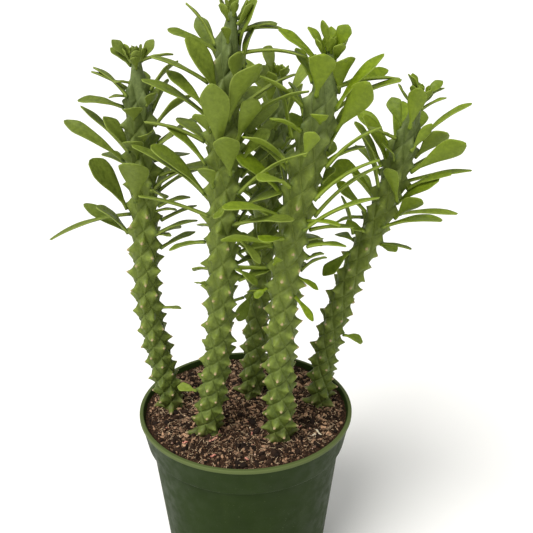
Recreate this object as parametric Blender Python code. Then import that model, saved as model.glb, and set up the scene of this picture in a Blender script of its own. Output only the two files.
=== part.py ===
"""A potted euphorbia: a nursery pot, the soil in it, five knobbly succulent stems and their larger leaves.

Metres, +Z up. The origin is the centre of the pot's flat underside. +X is the plant's right, +Y is its back.
Angles round the pot or round a stem are in degrees from +X towards +Y.
"""

import math

import bmesh
import bpy
from mathutils import Vector
from mathutils.bvhtree import BVHTree

MM = 0.001

# The pot.
POT_HEIGHT = 140 * MM
RIM_RADIUS = 80 * MM
BASE_RADIUS = 59.5 * MM
WALL = 2.0 * MM
FLOOR = 3.0 * MM
COLLAR_HEIGHT = 24 * MM
COLLAR_TAPER = 4.0 * MM
COLLAR_STEP = 3.2 * MM
LIP_HEIGHT = 3.0 * MM
LIP_DEPTH = 0.9 * MM
EDGE_BEVEL = 0.8 * MM
FOOT_BEVEL = 3.0 * MM
DRAIN_HOLES = 6
DRAIN_RADIUS = 5.0 * MM
DRAIN_CIRCLE = 44 * MM

# The soil.
SOIL_DROP = 3.5 * MM
SOIL_BUMP = 0.8 * MM

# Clearances between pieces that rest on each other.
FIT_GAP = 0.3 * MM
SOCKET_GAP = 0.6 * MM
LEAF_GAP = 0.85 * MM

# The knobby surface of every stem. A rise is how much higher each knob stands than the one before it.
LOW_RISE = 1.7 * MM
HIGH_RISE = 2.8 * MM
KNOB_HEIGHT = 4.4 * MM
KNOB_CLEAR_OF_SOIL = 4.0 * MM
GROOVE_DEPTH = 0.6 * MM
CROWN_HEIGHT = 6.0 * MM
TAPER_LENGTH = 40 * MM
FOOT_TOP = 1.2 * MM
FOOT_DEPTH = 34 * MM

# The leaf blade.
LEAF_THICKNESS = 2.2 * MM
LEAF_STALK_WIDTH = 2.8 * MM
LEAF_FOLD = 0.16
LEAF_ARCH = 0.07
LEAF_WIDEST_AT = 0.7

# Each stem: name, radius between the knobs in mm, turn of its spiral, where it is rooted (share of the soil's
# radius, angle), and its centre line as (right, back, up) from its root in mm.
STEMS = (
    ("left_stem", 7.6, 20, (0.747, 176.8),
     ((0, 0, 0), (-7.8, 1, 44.1), (-13.7, 1, 93.1), (-11.8, 0, 156.8), (-10.8, -1, 217.6), (-9.8, -2, 260.7))),
    ("centre_left_stem", 7.8, 75, (0.544, 227.0),
     ((0, 0, 0), (6.9, 0, 44.1), (11.8, -1, 88.2), (15.7, -2.9, 161.7), (18.6, -4.9, 235.3), (24.5, -5.9, 290.1))),
    ("back_stem", 7.4, 140, (0.276, 81.1),
     ((0, 0, 0), (3.9, 2, 44.1), (6.9, 4.9, 88.2), (12.7, 9.8, 156.8), (17.6, 12.7, 210.7), (20.6, 14.7, 245.1))),
    ("centre_right_stem", 8.2, 200, (0.590, 303.9),
     ((0, 0, 0), (0, -1, 58.8), (2.9, -2, 127.4), (10.8, -3.9, 181.3), (21.6, -4.9, 230.4), (28.4, -5.9, 270.5))),
    ("right_stem", 7.2, 290, (0.749, 8.1),
     ((0, 0, 0), (3.9, 0, 47.1), (16.7, 0, 98), (36.3, 0, 149), (49, -1, 192.1), (58.8, -2, 235.3))),
)

# The larger leaves of each stem: height up the stem in mm, direction it grows and points to, upward slope,
# roll about its own length, length in mm, width in mm.
LEAVES = {
    "left_stem": (
        (190, 178, 38, -40, 49, 10), (167, 205, 53, -50, 39, 19), (155, 182, -19, 0, 59, 7),
        (144, 200, 45, -10, 29, 16), (170, 270, 58, 0, 36, 20), (227, 180, 11, -10, 30, 11),
        (201, 205, 64, -50, 27, 13), (248, 182, 18, 0, 22, 8), (163, 8, 9, 0, 21, 7),
        (145, 0, 14, 0, 27, 7), (218, 95, 35, 0, 42, 14),
    ),
    "centre_left_stem": (
        (180, 193, 47, -20, 48, 15), (177, 183, 39, -10, 58, 10), (203, 185, 45, -20, 33, 9),
        (227, 182, 34, -10, 45, 10), (213, 262, 62, 0, 49, 17), (197, 275, 62, 0, 31, 16),
        (244, 205, 70, -60, 36, 16), (235, 305, 50, 0, 42, 19), (189, 330, 29, 0, 56, 8),
        (170, 345, 31, 10, 32, 11), (211, 350, 37, 50, 22, 10), (281, 180, 35, 0, 24, 6),
        (287, 340, 50, 40, 16, 16),
    ),
    "back_stem": (
        (225, 240, 66, 0, 27, 17), (201, 91, 35, 0, 54, 16), (167, 71, 20, 0, 50, 14),
        (147, 121, 10, 0, 44, 13),
    ),
    "centre_right_stem": (
        (245, 265, 62, 0, 31, 15), (257, 300, 48, 0, 18, 14), (262, 340, 22, 40, 28, 9),
        (225, 320, 54, -65, 42, 15), (232, 348, 34, 0, 45, 11), (208, 345, 37, 0, 40, 10),
        (188, 340, 34, 0, 45, 7), (178, 350, 36, 0, 49, 9), (172, 345, 21, 0, 44, 9),
        (152, 340, 6, 0, 25, 7),
    ),
    "right_stem": (
        (238, 262, 58, 0, 15, 12), (232, 350, 15, 15, 32, 9), (213, 330, 62, -60, 17, 7),
        (190, 325, 39, -60, 47, 14), (186, 340, 18, 20, 30, 8), (160, 312, 42, -30, 30, 13),
        (167, 340, 44, 40, 36, 11), (153, 330, 19, 10, 39, 15), (174, 258, 60, 0, 29, 10),
        (166, 180, 53, -30, 36, 9), (147, 61, 20, 0, 44, 13), (201, 81, 40, 0, 46, 14),
    ),
}

# How finely each shape is cut.
POT_SEGMENTS = 60
DRAIN_SEGMENTS = 16
SOIL_RINGS = 8
FOOT_SEGMENTS = 16
CROWN_SEGMENTS = 10
CURVE_STEPS = 24

# Knobs follow each other round the stem by the golden angle. Each one's cell is a rhombus, and its four
# corners are those of the knobs 0, 3, 8 and 5 places before it.
GOLDEN_ANGLE = 137.508
CELL_CORNERS = (0, 3, 8, 5)
CELL_SPAN = 8
CORNER_TURN = 0.5 * (CELL_SPAN * GOLDEN_ANGLE - 1080)

# A leaf that would touch its neighbours is swung by the first of these (up, aside) that clears them.
SWINGS = [(up, aside) for aside in (0, 20, -20, 40, -40) for up in (0, 5, -5, 10, -10, 15, -15, 25, -25)]


def clear_scene():
    for old in list(bpy.data.objects):
        bpy.data.objects.remove(old, do_unlink=True)
    bpy.context.scene.unit_settings.system = "METRIC"
    bpy.context.scene.unit_settings.scale_length = 1.0


def material(name, colour, roughness):
    made = bpy.data.materials.new(name)
    made.use_nodes = True
    shader = made.node_tree.nodes["Principled BSDF"]
    shader.inputs["Base Color"].default_value = (*colour, 1)
    shader.inputs["Roughness"].default_value = roughness
    made.diffuse_color = (*colour, 1)
    return made


class Shell:
    """The points and faces of one closed surface while it is put together."""

    def __init__(self):
        self.points = []
        self.faces = []

    def add(self, point):
        self.points.append(point)
        return len(self.points) - 1

    def ring(self, points):
        return [self.add(point) for point in points]

    def bridge(self, first, second):
        """Quads between two rings of as many points."""
        for a, b, c, d in zip(first, first[1:] + first[:1], second[1:] + second[:1], second):
            self.faces.append((a, b, c, d))

    def fan(self, ring, middle):
        for a, b in zip(ring, ring[1:] + ring[:1]):
            self.faces.append((a, b, middle))

    def cap(self, ring):
        self.faces.append(tuple(ring))

    def to_object(self, name, look=None):
        mesh = bpy.data.meshes.new(name)
        body = bmesh.new()
        corners = [body.verts.new(point) for point in self.points]
        for face in self.faces:
            body.faces.new([corners[i] for i in face])
        bmesh.ops.recalc_face_normals(body, faces=body.faces)
        bmesh.ops.triangulate(body, faces=body.faces)
        body.to_mesh(mesh)
        body.free()
        made = bpy.data.objects.new(name, mesh)
        bpy.context.scene.collection.objects.link(made)
        if look:
            mesh.materials.append(look)
        return made

    def tree(self):
        """A search tree of the surface, a fit gap thick, that tells whether two surfaces touch."""
        return BVHTree.FromPolygons(self.points, self.faces, epsilon=FIT_GAP)


def around(segments):
    return [360 * i / segments for i in range(segments)]


def turned(profile, segments):
    """A profile of (radius, height) turned round the Z axis, from one end on the axis to the other."""
    shell = Shell()
    start = shell.add(Vector((0, 0, profile[0][1])))
    rings = []
    for radius, height in profile[1:-1]:
        turns = [math.radians(angle) for angle in around(segments)]
        circle = [Vector((radius * math.cos(turn), radius * math.sin(turn), height)) for turn in turns]
        rings.append(shell.ring(circle))
    end = shell.add(Vector((0, 0, profile[-1][1])))
    shell.fan(rings[0], start)
    for first, second in zip(rings, rings[1:]):
        shell.bridge(first, second)
    shell.fan(rings[-1], end)
    return shell


def cut(body, cutter):
    """Takes the cutter's shape out of the body, and leaves the cutter as a hidden wire."""
    cutter.hide_render = True
    cutter.display_type = "WIRE"
    step = body.modifiers.new("cut_" + cutter.name, "BOOLEAN")
    step.operation = "DIFFERENCE"
    step.solver = "EXACT"
    step.object = cutter


def smooth(made, sharp_from=30):
    made.data.shade_smooth()
    made.data.set_sharp_from_angle(angle=math.radians(sharp_from))


# The pot's outline, worked out from its driving dimensions.
COLLAR_BOTTOM = POT_HEIGHT - COLLAR_HEIGHT
LIP_BOTTOM = POT_HEIGHT - LIP_HEIGHT
COLLAR_TOP_RADIUS = RIM_RADIUS - LIP_DEPTH
COLLAR_FOOT_RADIUS = COLLAR_TOP_RADIUS - COLLAR_TAPER
BODY_TOP_RADIUS = COLLAR_FOOT_RADIUS - COLLAR_STEP
SOIL_TOP = POT_HEIGHT - SOIL_DROP


def body_radius(height):
    return BASE_RADIUS + (BODY_TOP_RADIUS - BASE_RADIUS) * height / COLLAR_BOTTOM


def inner_radius(height):
    """Radius of the inside wall, which runs straight up the body and widens through the collar."""
    if height <= COLLAR_BOTTOM:
        return body_radius(height) - WALL
    share = (height - COLLAR_BOTTOM) / COLLAR_HEIGHT
    return BODY_TOP_RADIUS - WALL + share * (COLLAR_TOP_RADIUS - BODY_TOP_RADIUS)


def make_pot(look):
    """Up the outside from the middle of the underside to the lip, then down the inside."""
    profile = (
        (0, 0),
        (BASE_RADIUS - FOOT_BEVEL, 0),
        (body_radius(FOOT_BEVEL), FOOT_BEVEL),
        (BODY_TOP_RADIUS, COLLAR_BOTTOM),
        (COLLAR_FOOT_RADIUS - EDGE_BEVEL, COLLAR_BOTTOM + 0.5 * EDGE_BEVEL),
        (COLLAR_FOOT_RADIUS, COLLAR_BOTTOM + 2 * EDGE_BEVEL),
        (COLLAR_TOP_RADIUS, LIP_BOTTOM),
        (RIM_RADIUS, LIP_BOTTOM + EDGE_BEVEL),
        (RIM_RADIUS, POT_HEIGHT - EDGE_BEVEL),
        (RIM_RADIUS - EDGE_BEVEL, POT_HEIGHT),
        (inner_radius(POT_HEIGHT) + 0.5 * EDGE_BEVEL, POT_HEIGHT),
        (inner_radius(POT_HEIGHT), POT_HEIGHT - EDGE_BEVEL),
        (inner_radius(COLLAR_BOTTOM), COLLAR_BOTTOM),
        (inner_radius(FLOOR), FLOOR),
        (0, FLOOR),
    )
    pot = turned(profile, POT_SEGMENTS).to_object("pot", look)
    drain = ((0, -FLOOR), (DRAIN_RADIUS, -FLOOR), (DRAIN_RADIUS, 2 * FLOOR), (0, 2 * FLOOR))
    for number, angle in enumerate(around(DRAIN_HOLES), 1):
        cutter = turned(drain, DRAIN_SEGMENTS).to_object(f"drain_cutter_{number}")
        turn = math.radians(angle + 180 / DRAIN_HOLES)
        cutter.location = (DRAIN_CIRCLE * math.cos(turn), DRAIN_CIRCLE * math.sin(turn), 0)
        cut(pot, cutter)
    smooth(pot)


SOIL_EDGE = inner_radius(SOIL_TOP) - FIT_GAP


def soil_bump(x, y):
    waves = math.sin(95 * x + 1) * math.cos(80 * y) + math.sin(170 * y + 60 * x) * math.cos(150 * x)
    return 0.5 * SOIL_BUMP * waves


def make_soil(look, stems):
    """A plug that fills the inside of the pot, with a slightly uneven top and a hole for each stem's foot."""
    bottom = FLOOR + FIT_GAP
    profile = [(0, bottom), (inner_radius(bottom) - FIT_GAP, bottom)]
    profile.append((inner_radius(COLLAR_BOTTOM) - FIT_GAP, COLLAR_BOTTOM))
    for ring in range(SOIL_RINGS):
        profile.append((SOIL_EDGE * (1 - ring / SOIL_RINGS), SOIL_TOP))
    profile.append((0, SOIL_TOP))
    plug = turned(profile, POT_SEGMENTS)
    for point in plug.points:
        if point.z == SOIL_TOP and point.xy.length < SOIL_EDGE - FIT_GAP:
            point.z += soil_bump(point.x, point.y)
    soil = plug.to_object("potting_soil", look)
    for stem in stems:
        cut(soil, make_socket(stem).to_object("socket_cutter_" + stem.name))


class Stem:
    """One stem's centre line and the spiral of knobs round it. A height is a length along the centre line."""

    def __init__(self, name, radius, turn, root, line):
        self.name = name
        self.radius = radius * MM
        self.turn = turn
        share, angle = root
        foot = share * SOIL_EDGE * Vector((math.cos(math.radians(angle)), math.sin(math.radians(angle)), 0))
        foot.z = SOIL_TOP
        self.track = smooth_track([foot + Vector(mark) * MM for mark in line])
        self.along = [0.0]
        for first, second in zip(self.track, self.track[1:]):
            self.along.append(self.along[-1] + (second - first).length)
        self.length = self.along[-1]
        self.first_knob = KNOB_CLEAR_OF_SOIL + 0.5 * CELL_SPAN * LOW_RISE
        room = self.length - self.first_knob - CROWN_HEIGHT - 0.5 * CELL_SPAN * HIGH_RISE
        self.knobs = int(room / (0.5 * (LOW_RISE + HIGH_RISE)))
        self.free_knobs = list(range(self.knobs))

    def centre(self, height):
        """Point on the centre line, and its direction there. It runs on straight past either end."""
        index = 0
        while index < len(self.along) - 2 and self.along[index + 1] < height:
            index += 1
        step = self.track[index + 1] - self.track[index]
        share = (height - self.along[index]) / (self.along[index + 1] - self.along[index])
        return self.track[index] + share * step, step.normalized()

    def outward(self, height, angle):
        """Unit vector square to the centre line at this height and angle round the stem."""
        axis = self.centre(height)[1]
        right = (Vector((1, 0, 0)) - axis.x * axis).normalized()
        back = axis.cross(right)
        return math.cos(math.radians(angle)) * right + math.sin(math.radians(angle)) * back

    def spot(self, height, angle, radius):
        return self.centre(height)[0] + radius * self.outward(height, angle)

    def circle(self, height, radius, segments):
        return [self.spot(height, angle, radius) for angle in around(segments)]

    def knob_height(self, k):
        """Height of knob k: the knobs stand further apart towards the top."""
        return self.first_knob + LOW_RISE * k + (HIGH_RISE - LOW_RISE) * k * k / (2 * self.knobs)

    def knob_angle(self, k):
        return self.turn + GOLDEN_ANGLE * k

    def waist(self, height):
        """Radius between the knobs: a little narrower at the soil, and tapered at the top."""
        foot = min(1, 0.9 + 0.1 * max(0, height) / (15 * MM))
        top = min(1, 0.45 + 0.55 * max(0, self.length - height) / TAPER_LENGTH)
        return self.radius * foot * top

    def reach(self, height):
        """Radius at the tips of the knobs, which are lower near the top."""
        share = min(1, 0.4 + 0.6 * (self.length - height) / (1.5 * TAPER_LENGTH))
        return self.waist(height) + KNOB_HEIGHT * share

    def knob_tip(self, k):
        height = self.knob_height(k)
        return self.spot(height, self.knob_angle(k), self.reach(height))

    def take_knob(self, height, angle):
        """The free knob nearest this place, which is then no longer free."""

        def distance(k):
            turn = (self.knob_angle(k) - angle + 180) % 360 - 180
            return math.hypot(self.knob_height(k) - height, math.radians(turn) * self.radius)

        knob = min(self.free_knobs, key=distance)
        self.free_knobs.remove(knob)
        return knob


def smooth_track(marks):
    """Points along a smooth curve through the marks."""
    marks = [2 * marks[0] - marks[1]] + marks + [2 * marks[-1] - marks[-2]]
    track = []
    for a, b, c, d in zip(marks, marks[1:], marks[2:], marks[3:]):
        for i in range(CURVE_STEPS):
            t = i / CURVE_STEPS
            bend = (2 * a - 5 * b + 4 * c - d) * t**2 + (3 * b - a - 3 * c + d) * t**3
            track.append(b + 0.5 * ((c - a) * t + bend))
    track.append(marks[-2])
    return track


def zip_loops(shell, first, second):
    """Triangles between two loops of (angle, point), stepping along whichever is behind."""
    first = sorted(first)
    second = sorted(second)
    first.append((first[0][0] + 360, first[0][1]))
    second.append((second[0][0] + 360, second[0][1]))
    i = j = 0
    while i < len(first) - 1 or j < len(second) - 1:
        behind = j == len(second) - 1 or (i < len(first) - 1 and first[i + 1][0] <= second[j + 1][0])
        if behind:
            shell.faces.append((first[i][1], first[i + 1][1], second[j][1]))
            i += 1
        else:
            shell.faces.append((first[i][1], second[j + 1][1], second[j][1]))
            j += 1


def foot_levels(stem, grown=0):
    """(height, radius) down the smooth foot that stands in the soil, without its pointed end."""
    foot = stem.waist(0)
    widths = ((0.6, 0.88), (0.9, 0.6))
    levels = [(FOOT_TOP, 0.95 * foot + grown)]
    return levels + [(-depth * FOOT_DEPTH, width * foot + grown) for depth, width in widths]


def make_stem(stem):
    """Each knob is a four-sided pyramid whose base corners lie in the grooves between the knobs."""
    shell = Shell()
    corner = {}
    for k in range(-CELL_SPAN, stem.knobs):
        height = 0.5 * (stem.knob_height(k) + stem.knob_height(k + CELL_SPAN))
        angle = stem.knob_angle(k) + CORNER_TURN
        corner[k] = (angle % 360, shell.add(stem.spot(height, angle, stem.waist(height) - GROOVE_DEPTH)))
    for k in range(stem.knobs):
        shell.fan([corner[k - back][1] for back in CELL_CORNERS], shell.add(stem.knob_tip(k)))

    rings = [shell.ring(stem.circle(height, radius, FOOT_SEGMENTS)) for height, radius in foot_levels(stem)]
    for upper, lower in zip(rings, rings[1:]):
        shell.bridge(upper, lower)
    shell.fan(rings[-1], shell.add(stem.centre(-FOOT_DEPTH)[0]))
    crown = shell.ring(stem.circle(stem.length - 0.35 * CROWN_HEIGHT, 0.35 * stem.radius, CROWN_SEGMENTS))
    shell.fan(crown, shell.add(stem.centre(stem.length)[0]))

    lowest = [corner[k] for k in range(-CELL_SPAN, 0)]
    highest = [corner[k] for k in range(stem.knobs - CELL_SPAN, stem.knobs)]
    zip_loops(shell, lowest, list(zip(around(FOOT_SEGMENTS), rings[0])))
    zip_loops(shell, highest, list(zip(around(CROWN_SEGMENTS), crown)))
    return shell


def make_socket(stem):
    """The hole for the stem's foot: the foot's own shape, grown by the gap and open at the top."""
    shell = Shell()
    levels = foot_levels(stem, SOCKET_GAP)
    levels[0] = (10 * FOOT_TOP, levels[0][1])
    rings = [shell.ring(stem.circle(height, radius, FOOT_SEGMENTS)) for height, radius in levels]
    shell.cap(rings[0])
    for upper, lower in zip(rings, rings[1:]):
        shell.bridge(upper, lower)
    shell.fan(rings[-1], shell.add(stem.centre(-FOOT_DEPTH - SOCKET_GAP)[0]))
    return shell


def direction(angle, slope):
    flat = math.cos(math.radians(slope))
    turn = math.radians(angle)
    return Vector((flat * math.cos(turn), flat * math.sin(turn), math.sin(math.radians(slope))))


def blade_width(t):
    """Share of the blade's full width at a share t of its length: it widens smoothly, then closes to a point."""
    if t < LEAF_WIDEST_AT:
        return math.sin(0.5 * math.pi * (t / LEAF_WIDEST_AT) ** 1.1) ** 1.5
    return (1 - ((t - LEAF_WIDEST_AT) / (1 - LEAF_WIDEST_AT)) ** 2.2) ** 0.85


def blade(base, aim, across, roll, width):
    """A thick spoon-shaped blade from base to aim: narrow stalk, widest past the middle, pointed end."""
    shell = Shell()
    length = (aim - base).length
    along = (aim - base).normalized()
    level = (across - across.dot(along) * along).normalized()
    across = math.cos(math.radians(roll)) * level + math.sin(math.radians(roll)) * along.cross(level)
    upward = along.cross(across)
    rings = []
    for t in (0, 0.1, 0.28, 0.46, 0.68, 0.84, 0.94):
        middle = base + t * length * along + 4 * t * (1 - t) * LEAF_ARCH * length * upward
        half = max(0.5 * width * blade_width(t), 0.5 * LEAF_STALK_WIDTH * (1 - 0.5 * t))
        thick = 0.5 * LEAF_THICKNESS * (1 - 0.55 * t)
        section = []
        for share, side in ((-1, 0), (-0.5, 1), (0.5, 1), (1, 0), (0.5, -1), (-0.5, -1)):
            lift = LEAF_FOLD * abs(share) * half + side * thick
            section.append(middle + share * half * across + lift * upward)
        rings.append(shell.ring(section))
    shell.cap(rings[0])
    for first, second in zip(rings, rings[1:]):
        shell.bridge(first, second)
    shell.fan(rings[-1], shell.add(aim))
    return shell


def make_leaf(stem, row, neighbours):
    """A leaf from just off the tip of the free knob nearest its place, clear of its neighbours."""
    height, heading, slope, roll, length, width = row
    height *= MM
    knob = stem.take_knob(height, heading)
    tip = stem.knob_tip(knob)
    away = stem.outward(stem.knob_height(knob), stem.knob_angle(knob))
    across = stem.centre(height)[1].cross(stem.outward(height, heading))
    start = stem.spot(height, heading, stem.reach(height))
    for up, aside in SWINGS:
        aim = start + length * MM * direction(heading + aside, slope + up)
        gap = LEAF_GAP + 0.5 * LEAF_THICKNESS * abs((aim - tip).normalized().z)
        leaf = blade(tip + gap * away, aim, across, roll, width * MM)
        tree = leaf.tree()
        if not any(tree.overlap(other) for other in neighbours):
            break
    neighbours.append(tree)
    return leaf


clear_scene()
stems = [Stem(*row) for row in STEMS]
make_pot(material("pot_plastic", (0.05, 0.085, 0.022), 0.5))
make_soil(material("potting_soil_grain", (0.07, 0.045, 0.028), 0.95), stems)

stem_look = material("stem_skin", (0.13, 0.2, 0.045), 0.55)
leaf_look = material("leaf_skin", (0.2, 0.3, 0.06), 0.45)
neighbours = []
for stem in stems:
    shell = make_stem(stem)
    shell.to_object(stem.name, stem_look)
    neighbours.append(shell.tree())
for stem in stems:
    for number, row in enumerate(LEAVES[stem.name], 1):
        leaf = make_leaf(stem, row, neighbours).to_object(f"{stem.name[:-5]}_leaf_{number:02d}", leaf_look)
        smooth(leaf, 50)
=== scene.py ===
"""The potted euphorbia's looks: fine stems, leaves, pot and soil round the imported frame.

Metres, +Z up. The origin is the centre of the pot's flat underside. +X is the plant's right, +Y is its back.
Angles round the pot or round a stem are in degrees from +X towards +Y.
"""

import math
import random

import bmesh
import bpy
import numpy as np
from mathutils import Matrix, Vector, noise


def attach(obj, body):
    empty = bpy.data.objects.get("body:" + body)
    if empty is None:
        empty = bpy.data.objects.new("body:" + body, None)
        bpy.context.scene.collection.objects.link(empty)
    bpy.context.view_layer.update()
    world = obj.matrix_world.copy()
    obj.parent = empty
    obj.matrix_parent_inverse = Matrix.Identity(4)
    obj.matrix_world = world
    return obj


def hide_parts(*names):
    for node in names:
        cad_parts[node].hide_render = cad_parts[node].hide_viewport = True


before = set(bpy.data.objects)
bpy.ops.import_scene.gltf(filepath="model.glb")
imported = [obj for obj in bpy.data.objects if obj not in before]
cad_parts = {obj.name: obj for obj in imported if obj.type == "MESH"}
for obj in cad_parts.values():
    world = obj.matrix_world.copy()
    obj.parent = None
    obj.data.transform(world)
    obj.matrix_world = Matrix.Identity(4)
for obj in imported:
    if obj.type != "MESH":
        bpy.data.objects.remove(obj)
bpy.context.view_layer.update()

MM = 0.001

# ---------------------------------------------------------------------------------------------------------
# Sizes that the CAD has too.

POT_HEIGHT = 140 * MM
RIM_RADIUS = 80 * MM
BASE_RADIUS = 59.5 * MM
WALL = 2.0 * MM
FLOOR = 3.0 * MM
COLLAR_HEIGHT = 24 * MM
COLLAR_TAPER = 4.0 * MM
COLLAR_STEP = 3.2 * MM
LIP_HEIGHT = 3.0 * MM
LIP_DEPTH = 0.9 * MM
FOOT_BEVEL = 3.0 * MM
DRAIN_HOLES = 6
DRAIN_RADIUS = 5.0 * MM
DRAIN_CIRCLE = 44 * MM
SOIL_DROP = 3.5 * MM
FIT_GAP = 0.3 * MM

LOW_RISE = 1.7 * MM
HIGH_RISE = 2.8 * MM
KNOB_HEIGHT = 4.4 * MM
KNOB_CLEAR_OF_SOIL = 4.0 * MM
GROOVE_DEPTH = 0.6 * MM
CROWN_HEIGHT = 6.0 * MM
TAPER_LENGTH = 40 * MM

LEAF_THICKNESS = 2.2 * MM
LEAF_STALK_WIDTH = 2.8 * MM
LEAF_FOLD = 0.16
LEAF_ARCH = 0.07
LEAF_WIDEST_AT = 0.7

# Each stem: name, radius in mm, turn of its spiral, root (share of the soil's radius, angle), and the points
# of its centre line in mm. A scratch script worked out where each is rooted and how it runs, from places read
# off the photograph by eye.
STEMS = (
    ("left_stem", 7.6, 20, (0.747, 176.8),
     ((0, 0, 0), (-7.8, 1, 44.1), (-13.7, 1, 93.1), (-11.8, 0, 156.8),
      (-10.8, -1, 217.6), (-9.8, -2, 260.7))),
    ("centre_left_stem", 7.8, 75, (0.544, 227.0),
     ((0, 0, 0), (6.9, 0, 44.1), (11.8, -1, 88.2), (15.7, -2.9, 161.7),
      (18.6, -4.9, 235.3), (24.5, -5.9, 290.1))),
    ("back_stem", 7.4, 140, (0.276, 81.1),
     ((0, 0, 0), (3.9, 2, 44.1), (6.9, 4.9, 88.2), (12.7, 9.8, 156.8),
      (17.6, 12.7, 210.7), (20.6, 14.7, 245.1))),
    ("centre_right_stem", 8.2, 200, (0.590, 303.9),
     ((0, 0, 0), (0, -1, 58.8), (2.9, -2, 127.4), (10.8, -3.9, 181.3),
      (21.6, -4.9, 230.4), (28.4, -5.9, 270.5))),
    ("right_stem", 7.2, 290, (0.749, 8.1),
     ((0, 0, 0), (3.9, 0, 47.1), (16.7, 0, 98), (36.3, 0, 149), (49, -1, 192.1), (58.8, -2, 235.3))),
)

# The leaves that the CAD has: height up the stem in mm, direction it grows and points to, upward slope, roll
# about its own length, length in mm, width in mm.
# A scratch script fitted most rows of this table and the next to places read off the photograph by eye.
LEAVES = {
    "left_stem": (
        (190, 178, 38, -40, 49, 10), (167, 205, 53, -50, 39, 19), (155, 182, -19, 0, 59, 7),
        (144, 200, 45, -10, 29, 16), (170, 270, 58, 0, 36, 20), (227, 180, 11, -10, 30, 11),
        (201, 205, 64, -50, 27, 13), (248, 182, 18, 0, 22, 8), (163, 8, 9, 0, 21, 7),
        (145, 0, 14, 0, 27, 7), (218, 95, 35, 0, 42, 14),
    ),
    "centre_left_stem": (
        (180, 193, 47, -20, 48, 15), (177, 183, 39, -10, 58, 10), (203, 185, 45, -20, 33, 9),
        (227, 182, 34, -10, 45, 10), (213, 262, 62, 0, 49, 17), (197, 275, 62, 0, 31, 16),
        (244, 205, 70, -60, 36, 16), (235, 305, 50, 0, 42, 19), (189, 330, 29, 0, 56, 8),
        (170, 345, 31, 10, 32, 11), (211, 350, 37, 50, 22, 10), (281, 180, 35, 0, 24, 6),
        (287, 340, 50, 40, 16, 16),
    ),
    "back_stem": (
        (225, 240, 66, 0, 27, 17), (201, 91, 35, 0, 54, 16), (167, 71, 20, 0, 50, 14),
        (147, 121, 10, 0, 44, 13),
    ),
    "centre_right_stem": (
        (245, 265, 62, 0, 31, 15), (257, 300, 48, 0, 18, 14), (262, 340, 22, 40, 28, 9),
        (225, 320, 54, -65, 42, 15), (232, 348, 34, 0, 45, 11), (208, 345, 37, 0, 40, 10),
        (188, 340, 34, 0, 45, 7), (178, 350, 36, 0, 49, 9), (172, 345, 21, 0, 44, 9),
        (152, 340, 6, 0, 25, 7),
    ),
    "right_stem": (
        (238, 262, 58, 0, 15, 12), (232, 350, 15, 15, 32, 9), (213, 330, 62, -60, 17, 7),
        (190, 325, 39, -60, 47, 14), (186, 340, 18, 20, 30, 8), (160, 312, 42, -30, 30, 13),
        (167, 340, 44, 40, 36, 11), (153, 330, 19, 10, 39, 15), (174, 258, 60, 0, 29, 10),
        (166, 180, 53, -30, 36, 9), (147, 61, 20, 0, 44, 13), (201, 81, 40, 0, 46, 14),
    ),
}

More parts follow.
